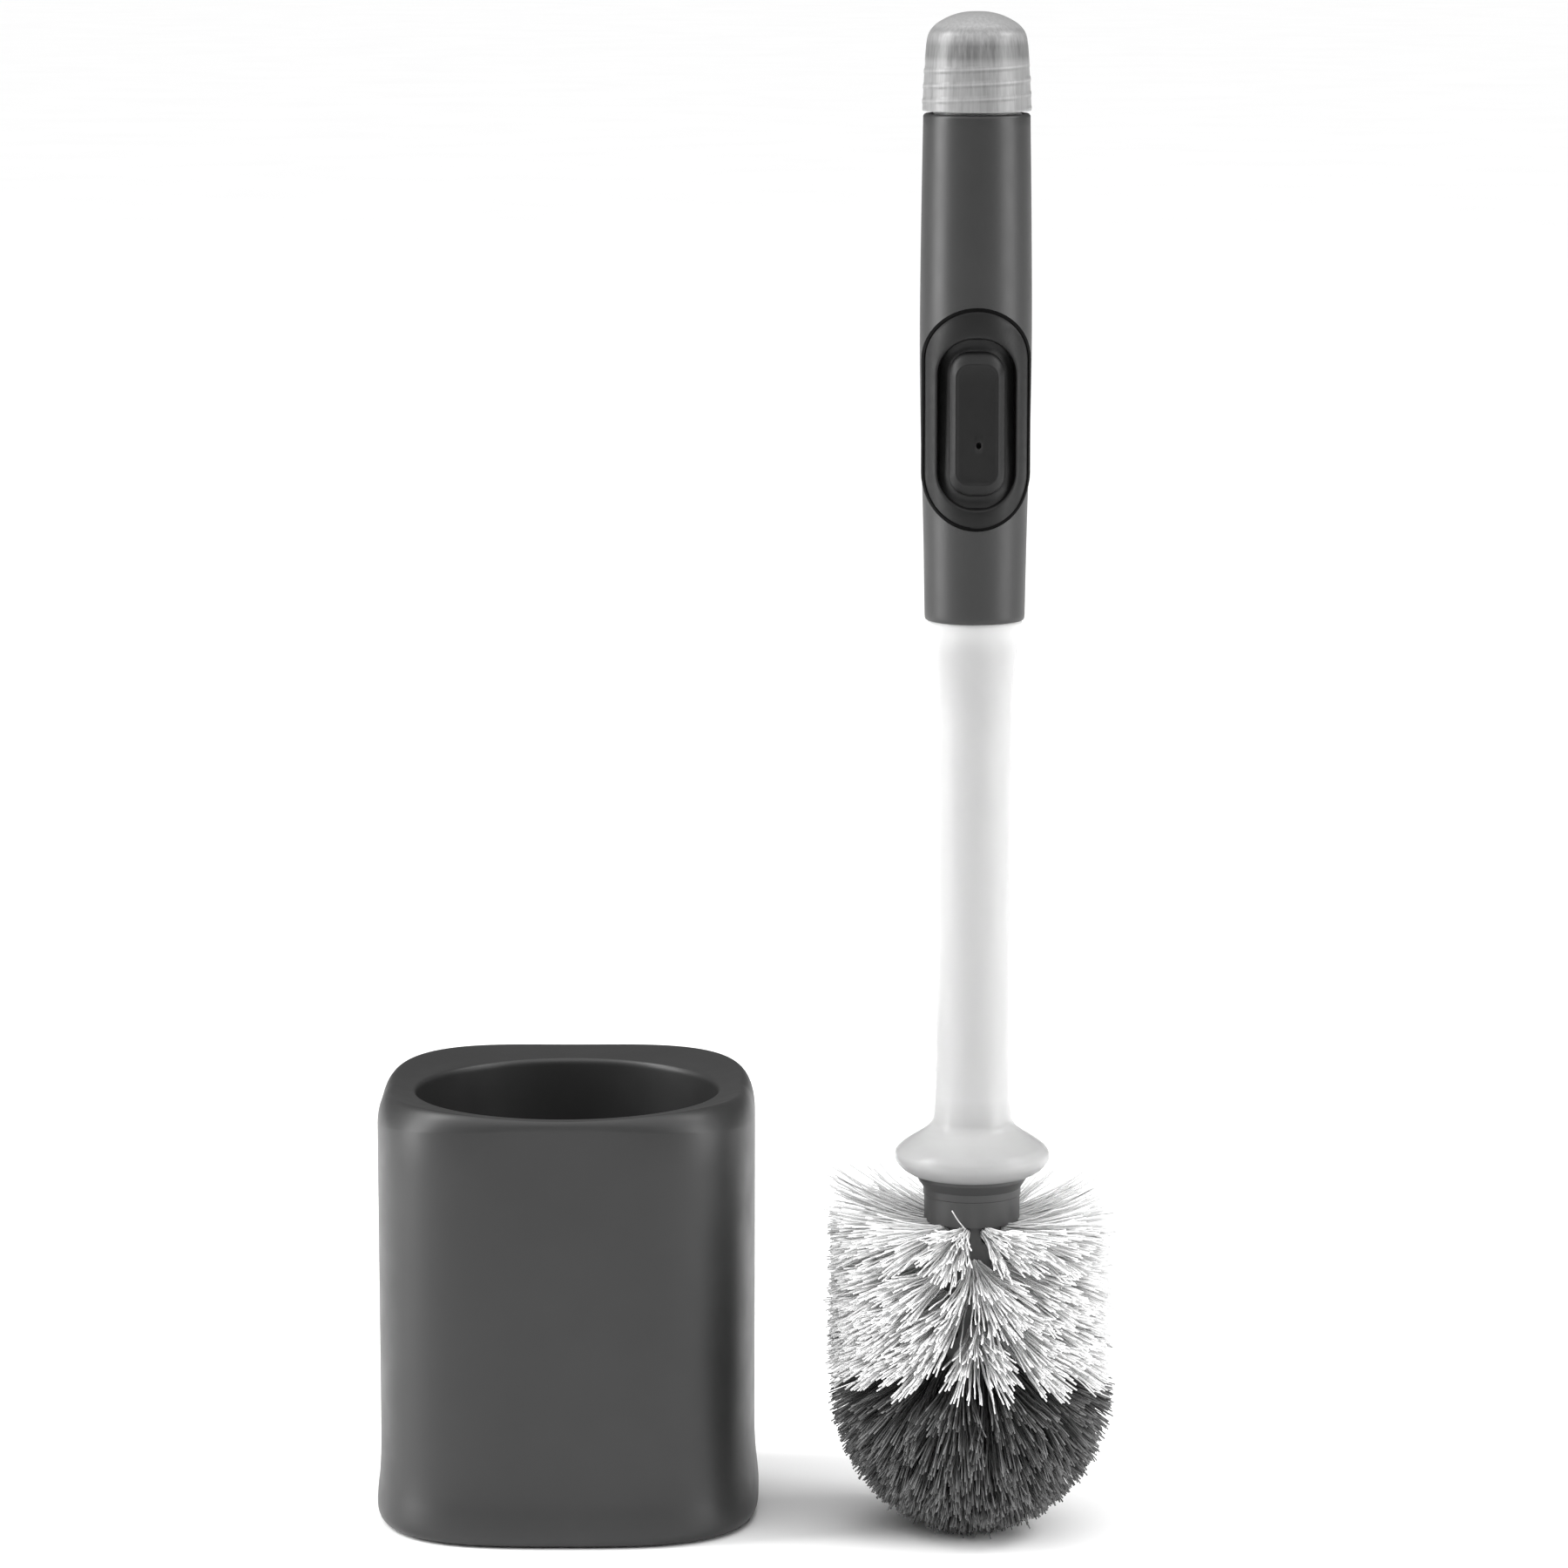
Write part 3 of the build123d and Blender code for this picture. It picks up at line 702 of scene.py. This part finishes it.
def capped_prism(name, rings):
    """A closed solid between two outlines."""
    count = len(rings[0])
    corners = np.concatenate(rings)
    faces = [tuple(range(count)), tuple(range(2 * count - 1, count - 1, -1))]
    for k in range(count):
        after = (k + 1) % count
        faces.append((k, count + k, count + after, after))
    mesh = bpy.data.meshes.new(name)
    mesh.from_pydata([tuple(corner) for corner in corners], [], faces)
    work = bmesh.new()
    work.from_mesh(mesh)
    bmesh.ops.recalc_face_normals(work, faces=work.faces)
    work.to_mesh(mesh)
    work.free()
    return mesh


# ---------------------------------------------------------------- pump
def grown(size, by):
    """The points of an oblong of (half height, half width, corner), that much bigger all round."""
    return oblong(*[side + by for side in size])


def pump_bezel(band, bead):
    """Silicone surround: a raised black bead in the window's edge, and a smooth band."""
    edge = (WINDOW[0] - 0.55, WINDOW[1] - 0.5, WINDOW[1] - 0.5)
    bead_section = [(0.45, -2.4), (0.45, -0.5), (0.45, 0.05), (0.34, 0.28), (0.08, 0.36), (-0.2, 0.28),
                    (-0.36, 0.05), (-0.5, 0.0)]
    rings = [facing(grown(edge, by), WINDOW_Z, on_grip(offset)) for by, offset in bead_section]
    outer = (WINDOW[0] - 1.05, WINDOW[1] - 1.0, WINDOW[1] - 1.0, WINDOW_Z)
    inner = (*GROOVE, PAD_Z)
    for part in np.arange(1, 8) / 8:
        *size, height = [a + (b - a) * part for a, b in zip(outer, inner)]
        rings.append(facing(oblong(*size), height, on_grip(0.03 + 0.1 * math.sin(math.pi * part))))
    for by, offset in [(0.0, 0.02), (-0.3, -0.06), (-0.6, -0.26), (-0.85, -0.6), (-0.98, -1.1)]:
        rings.append(facing(grown(GROOVE, by), PAD_Z, on_grip(offset)))
    for by, radius in [(-1.1, 12.75), (-1.12, 12.0)]:
        rings.append(facing(grown(GROOVE, by), PAD_Z, on_tube(radius)))
    back = oblong(WINDOW[0] - 1.2, WINDOW[1] - 1.4, WINDOW[1] - 1.4)
    rings.append(facing(back, WINDOW_Z, on_tube(12.0)))
    mesh = ring_stack("pump_surround", rings)
    dress(link("pump_surround", mesh), "brush", "pump_silicone", [band, bead], "pump_bezel")
    columns = len(rings[0])
    for face in mesh.polygons:
        ring = min(face.vertices) // columns
        face.material_index = 1 if ring < len(bead_section) - 2 else 0


def pump_web(material):
    """The floor of the groove round the pad, a thin rolled web."""
    section = [(3.1, 12.9), (2.0, 12.55), (1.0, 12.35), (0.2, 12.6), (-0.5, 12.9),
               (-0.5, 12.1), (0.2, 11.95), (1.0, 11.8), (2.0, 11.9), (3.1, 12.1)]
    rings = [facing(grown(PAD, by), PAD_Z, on_tube(radius)) for by, radius in section]
    mesh = ring_stack("pump_web", rings)
    dress(link("pump_web", mesh), "brush", "pump_silicone", material, "pump_membrane")


def pump_pad(material):
    """The thumb pad: bevelled sides, a fine ridge round a dished face, and a vent hole."""
    vent = (0.45, 304.4 - PAD_Z)
    face_edge = np.array([15.6, 4.95, 3.0])
    vent_edge = np.array([1.5, 1.1, 1.08])
    face_depth = 15.78
    outside = [
        (19.55, 7.45, 5.9, on_tube(11.75)), (*PAD, on_tube(12.6)), (19.55, 7.5, 6.0, 13.1),
        (19.4, 7.4, 5.9, 13.7), (18.9, 7.1, 5.6, 14.35), (18.1, 6.7, 5.1, 14.95), (17.3, 6.3, 4.5, 15.45),
        (16.7, 5.95, 4.0, 15.8), (16.45, 5.75, 3.7, 15.97), (16.2, 5.5, 3.4, 16.0), (15.95, 5.25, 3.2, 15.9),
        (*face_edge, face_depth),
    ]
    inside = [(14.6, 4.4, 3.0, 14.2), (17.0, 5.6, 4.2, 13.4), (17.9, 5.9, 4.4, on_tube(11.75))]
    rings = [facing(oblong(*size), PAD_Z, depth) for *size, depth in outside]
    for part in (0.2, 0.45, 0.7, 0.9):
        size = face_edge + (vent_edge - face_edge) * part
        shift = (vent[0] * part, vent[1] * part)
        rings.append(facing(oblong(*size, shift), PAD_Z, face_depth - 0.13 * part))
    hole = [(1.0, 15.68), (0.88, 15.78), (0.74, 15.8), (0.62, 15.68), (0.58, 15.3), (0.58, 14.3)]
    for radius, depth in hole:
        rings.append(facing(oblong(1.45 * radius, radius, radius, vent), PAD_Z, depth))
    rings += [facing(oblong(*size), PAD_Z, depth) for *size, depth in inside]
    mesh = ring_stack("pump_pad", rings)
    dress(link("pump_pad", mesh), "pump", "pump_silicone", material, "pump_button")


# ---------------------------------------------------------------- bristles
CORE_R = 11.8
DOME_Z = 38.0                       # centre of the core's round end
HEAD_R = 39.6                       # the tips are trimmed to a tube of this radius,
HEAD_ROUND_Z = 44.0                 # and below this height to half an ellipsoid
ROW_TUFTS = 12
FIRST_AZIMUTH = -12.0               # of a row's first tuft, in degrees from the front
STAGGER = 15.0                      # how far every other row is turned
WHITE_ROWS = [(87.0, 3.0), (78.0, 13.0), (69.0, 15.0), (60.0, 15.5)]    # height, tilt below level
GREY_ROWS = [(50.5, 35.0), (42.0, 52.0)]
END_RINGS = [(30.0, 60.0, 8), (60.0, 75.0, 6), (90.0, 90.0, 1)]     # place on the dome, tilt, tufts
PARTINGS = {                        # azimuth of a parting, and degrees combed away from it
    "white_tufts_1": (4.0, 2.0),
    "white_tufts_2": (-4.0, 15.0),
    "white_tufts_3": (8.0, 15.0),
    "white_tufts_4": (0.0, 9.0),
}

FILAMENT_R = 0.215
STATIONS = 11                       # points along a filament
SIDES = 4
LOCKS = 9                           # clinging bunches within a tuft
ROOT_SPREAD = 1.4                   # radius of a tuft where it leaves its hole
ROOT_DEPTH = 2.6


def tuft_rows():
    """(name, radius, height, tilt, tufts, first azimuth) of each row of tufts, from the top down."""
    rows = []
    for colour, levels in (("white", WHITE_ROWS), ("grey", GREY_ROWS)):
        for number, (height, tilt) in enumerate(levels):
            first = FIRST_AZIMUTH + STAGGER * (number % 2)
            rows.append((f"{colour}_tufts_{number + 1}", CORE_R, height, tilt, ROW_TUFTS, first))
    for number, (below, tilt, tufts) in enumerate(END_RINGS):
        around = CORE_R * math.cos(math.radians(below))
        height = DOME_Z - CORE_R * math.sin(math.radians(below))
        name = f"grey_tufts_{len(GREY_ROWS) + number + 1}"
        rows.append((name, around, height, tilt, tufts, FIRST_AZIMUTH))
    return rows


def trimmed(start, along):
    """How far each filament runs before it meets the head's trimmed outline."""
    flat = start[:, :2]
    level = along[:, :2]

    def meet(a, b, c):
        return (-b + np.sqrt(np.maximum(b * b - a * c, 0))) / np.maximum(a, 1e-6)

    level2 = (level**2).sum(1) / HEAD_R**2
    mixed = (flat * level).sum(1) / HEAD_R**2
    flat2 = (flat**2).sum(1) / HEAD_R**2
    straight = meet(level2, mixed, flat2 - 1)
    up = (start[:, 2] - HEAD_ROUND_Z) / HEAD_ROUND_Z
    rise = along[:, 2] / HEAD_ROUND_Z
    rounded = meet(level2 + rise**2, mixed + up * rise, flat2 + up**2 - 1)
    return np.where(start[:, 2] + straight * along[:, 2] >= HEAD_ROUND_Z, straight, rounded)


def parted(along, middle, push):
    """Turn filaments about the upright axis, away from a parting at an azimuth of the front."""
    facing_front = np.degrees(np.arctan2(along[:, 0], -along[:, 1])) - middle
    near = np.clip(np.cos(np.radians(facing_front)), 0, 1)
    turn = np.radians(push * np.tanh(facing_front / 6.0) * near**2)
    turned_x = along[:, 0] * np.cos(turn) - along[:, 1] * np.sin(turn)
    turned_y = along[:, 0] * np.sin(turn) + along[:, 1] * np.cos(turn)
    return np.stack([turned_x, turned_y, along[:, 2]], axis=-1)


def seeds(count, start):
    """Points packed evenly in a disc of radius 1."""
    order = np.arange(count)
    swirl = order * math.pi * (3 - math.sqrt(5)) + start
    return np.sqrt((order + 0.5) / count) * np.array([np.cos(swirl), np.sin(swirl)])


def filaments(rng, radius, height, tilt, azimuth, count, spread, lift, parting):
    """Centrelines of one tuft, (filament, station, xyz) in millimetres about the brush's axis."""
    full_turn = 6.28
    turn = math.radians(azimuth)
    drop = math.radians(tilt)
    out = np.array([math.sin(turn), -math.cos(turn), 0.0])
    forward = math.cos(drop) * out - np.array([0, 0, math.sin(drop)])
    across = np.array([out[1], -out[0], 0.0])
    over = np.cross(across, forward)
    over = over if over[2] >= 0 else -over
    root = radius * out + np.array([0, 0, height])
    # packed in the hole, and splayed the way they sit in it, with locks that cling together
    seat = seeds(count, rng.uniform(0, full_turn))
    start = root + ROOT_SPREAD * (seat[0][:, None] * across + seat[1][:, None] * over) - ROOT_DEPTH * forward
    locks = seeds(LOCKS, rng.uniform(0, full_turn)) * 1.05
    lock = ((seat[:, :, None] - locks[:, None]) ** 2).sum(0).argmin(1)
    drawn = rng.uniform(0.1, 0.6, count)
    wander = rng.normal(0, 0.13, (2, LOCKS))
    splay = seat + (locks[:, lock] - seat) * drawn + wander[:, lock] + rng.normal(0, 0.09, (2, count))
    side = math.tan(math.radians(spread[0])) * splay[0]
    high = math.tan(math.radians(spread[1])) * splay[1]
    high = high + lift * np.clip(splay[1], 0, 1) ** 2
    along = forward + side[:, None] * across + high[:, None] * over
    along /= np.linalg.norm(along, axis=1)[:, None]
    along = parted(along, *parting)
    length = trimmed(start, along) + rng.normal(0, 0.5, count) - 0.3
    length = np.where(rng.random(count) < 0.03, length + rng.uniform(0.5, 1.8, count), length)
    s = np.linspace(0, 1, STATIONS)[None, :, None]
    tip = start + along * length[:, None]
    knee = start + (0.6 * forward + 0.4 * along) * length[:, None] * 0.4
    path = (1 - s) ** 2 * start[:, None] + 2 * s * (1 - s) * knee[:, None] + s * s * tip[:, None]
    # a fine crimp and a slow bow, each in its own direction across the filament
    crimps = rng.uniform(2.0, 3.2, count)
    bows = rng.uniform(0.3, 0.7, count)
    for size, turns, power in ((0.3, crimps, 0.6), (0.7, bows, 1.3)):
        way = rng.normal(0, 1, (count, 3))
        way -= (way * along).sum(1)[:, None] * along
        way /= np.linalg.norm(way, axis=1)[:, None]
        phase = rng.uniform(0, 2 * math.pi, count)
        wave = np.sin(2 * math.pi * turns[:, None] * s[:, :, 0] + phase[:, None]) - np.sin(phase)[:, None]
        amount = size * rng.uniform(0.4, 1.2, count)[:, None] * s[:, :, 0] ** power
        path = path + (wave * amount)[:, :, None] * way[:, None]
    path[:, :, 2] = np.maximum(path[:, :, 2], FILAMENT_R + 0.05)
    return path


def stray_filament():
    """One bent filament that has sprung up over the collar from the front tuft."""
    knots = np.array([(-2.6, -10.5, 86.6), (-1.6, -13.4, 87.6), (-2.6, -14.6, 89.2), (-4.4, -15.3, 91.6),
                      (-5.9, -15.6, 94.2)])
    stops = np.linspace(0, len(knots) - 1, STATIONS)
    path = [np.interp(stops, range(len(knots)), knots[:, axis]) for axis in range(3)]
    return np.stack(path, axis=-1)[None]


def filament_mesh(name, paths, tones):
    """Thin closed rods along centrelines, all in one mesh, with a tone for each filament."""
    count = len(paths)
    tangent = np.gradient(paths, axis=1)
    tangent /= np.linalg.norm(tangent, axis=2, keepdims=True)
    helper = np.where(abs(tangent[:, :1, 2:]) > 0.9, np.array([1.0, 0, 0]), np.array([0, 0, 1.0]))
    first = np.cross(tangent, helper)
    first /= np.linalg.norm(first, axis=2, keepdims=True)
    second = np.cross(tangent, first)
    turns = (np.arange(SIDES) + 0.5) * 2 * math.pi / SIDES
    ring = (np.cos(turns)[:, None] * first[:, :, None] + np.sin(turns)[:, None] * second[:, :, None])
    corners = paths[:, :, None] + FILAMENT_R * ring
    corners = corners * MM + np.array([BRUSH[0], BRUSH[1], 0])
    station = np.arange(STATIONS - 1)[:, None] * SIDES
    side = np.arange(SIDES)[None, :]
    after = (side + 1) % SIDES
    sides = [station + side, station + after, station + SIDES + after, station + SIDES + side]
    last = (STATIONS - 1) * SIDES
    ends = np.array([[3, 2, 1, 0], [last, last + 1, last + 2, last + 3]])
    one = np.concatenate([np.stack(sides, axis=-1).reshape(-1, 4), ends])
    quads = (one[None] + (np.arange(count) * STATIONS * SIDES)[:, None, None]).reshape(-1, 4)
    mesh = quad_mesh(name, corners.reshape(-1, 3), quads)
    mesh.shade_smooth()
    attribute = mesh.attributes.new("filament_tone", "FLOAT", "POINT")
    attribute.data.foreach_set("value", np.repeat(tones, STATIONS * SIDES).astype(np.float32))
    return mesh


def bristles(white, grey):
    """A piece for each row of tufts. The front white tufts are drawn in, so gaps show between them."""
    rng = np.random.default_rng(20)
    for name, radius, height, tilt, tufts, first in tuft_rows():
        is_white = name.startswith("white")
        count = 105 if is_white else 130
        spread = (18.0, 13.0) if is_white else (19.0, 18.0)
        if tufts < ROW_TUFTS:
            spread = (24.0, 20.0)
        lift = 0.3 if name == "white_tufts_1" else 0.0
        parting = PARTINGS.get(name, (0.0, 0.0))
        paths = []
        for k in range(tufts):
            azimuth = first + 360 / tufts * k
            in_front = max(0, math.cos(math.radians(azimuth))) ** 3 if is_white else 0
            splay = (spread[0] - 5.5 * in_front, spread[1] - 2.0 * in_front)
            raised = lift * (1 - in_front)
            paths.append(filaments(rng, radius, height, tilt, azimuth, count, splay, raised, parting))
        if name == "white_tufts_1":
            paths.append(stray_filament())
        paths = np.concatenate(paths)
        tones = np.clip(rng.normal(0.5, 0.22 if is_white else 0.3, len(paths)), 0, 1)
        mesh = filament_mesh(name.replace("tufts", "bristles"), paths, tones)
        slot = "white_bristle" if is_white else "grey_bristle"
        dress(link(mesh.name, mesh), "brush", slot, white if is_white else grey, name)


# ---------------------------------------------------------------- floor
def add_floor(material):
    """A sheet of paper far wider than the view."""
    side = 30.0
    corners = [(-side, -side, 0), (side, -side, 0), (side, side, 0), (-side, side, 0)]
    mesh = quad_mesh("floor", corners, [(0, 1, 2, 3)])
    finish_mesh(mesh, crease=0)
    floor = link("floor", mesh)
    floor.data.materials.append(material)


# ---------------------------------------------------------------- the scene
bpy.context.scene.view_settings.view_transform = "Standard"
add_camera()
add_world(0.22)
add_overhead(2.95, 21)
SOFTBOX_AIM = (0.05, 0, 0.25)
HIGH_AIM = (0.08, 0, 0.12)
add_softbox("left_softbox", (-1.85, -0.22, 0.45), SOFTBOX_AIM, (1.6, 0.86), 41)
add_softbox("right_softbox", (1.85, -0.7, 0.45), SOFTBOX_AIM, (1.5, 0.86), 25)
add_softbox("left_high_lamp", (-1.3, -0.1, 1.4), HIGH_AIM, (0.65, 0.65), 18)
add_softbox("right_high_lamp", (1.45, -0.1, 1.4), HIGH_AIM, (0.65, 0.65), 13)

shell_grey = satin_plastic("satin_grey_shell", 0.019, 0.42)
grip_grey = satin_plastic("satin_grey_grip", 0.019, 0.4)
collar_grey = satin_plastic("satin_grey_collar", 0.05, 0.4)
black_rubber = silicone("silicone_pump", 0.004, 0.46)
black_bead = silicone("silicone_bead", 0.001, 0.7, 0.08)
ring_rubber = silicone("rubber_ring", 0.03, 0.6)
seal_rubber = silicone("rubber_seal", 0.05, 0.55)
milky = milky_plastic("milky_polypropylene")
frosted = frosted_plastic("frosted_polypropylene")
steel = bright_steel("staple_steel")
white_nylon = nylon("white_nylon", 0.62, 0.8, 0.55, 0.9)
grey_nylon = nylon("grey_nylon", 0.015, 0.18)

# the mouth's edge: glossier, and painted a lighter grey as a painted highlight
cup_shell(shell_grey, satin_plastic("polished_grey_edge_painted_highlight", 0.03, 0.2))
reservoir(milky)
cap(frosted)
grip_sleeve(grip_grey)
pump_bezel(black_rubber, black_bead)
pump_web(black_rubber)
pump_pad(black_rubber)
bristles(white_nylon, grey_nylon)
for node, material in {
    "holder_base": shell_grey,
    "base_ring": ring_rubber,
    "cap_seal": seal_rubber,
    "pump_seat": grip_grey,
    "dispensing_valve": seal_rubber,
    "valve_retainer": milky,
    "head_gasket": seal_rubber,
    "brush_core": collar_grey,
    "tuft_staples": steel,
}.items():
    paint(node, material)
add_floor(floor_paper("studio_paper"))
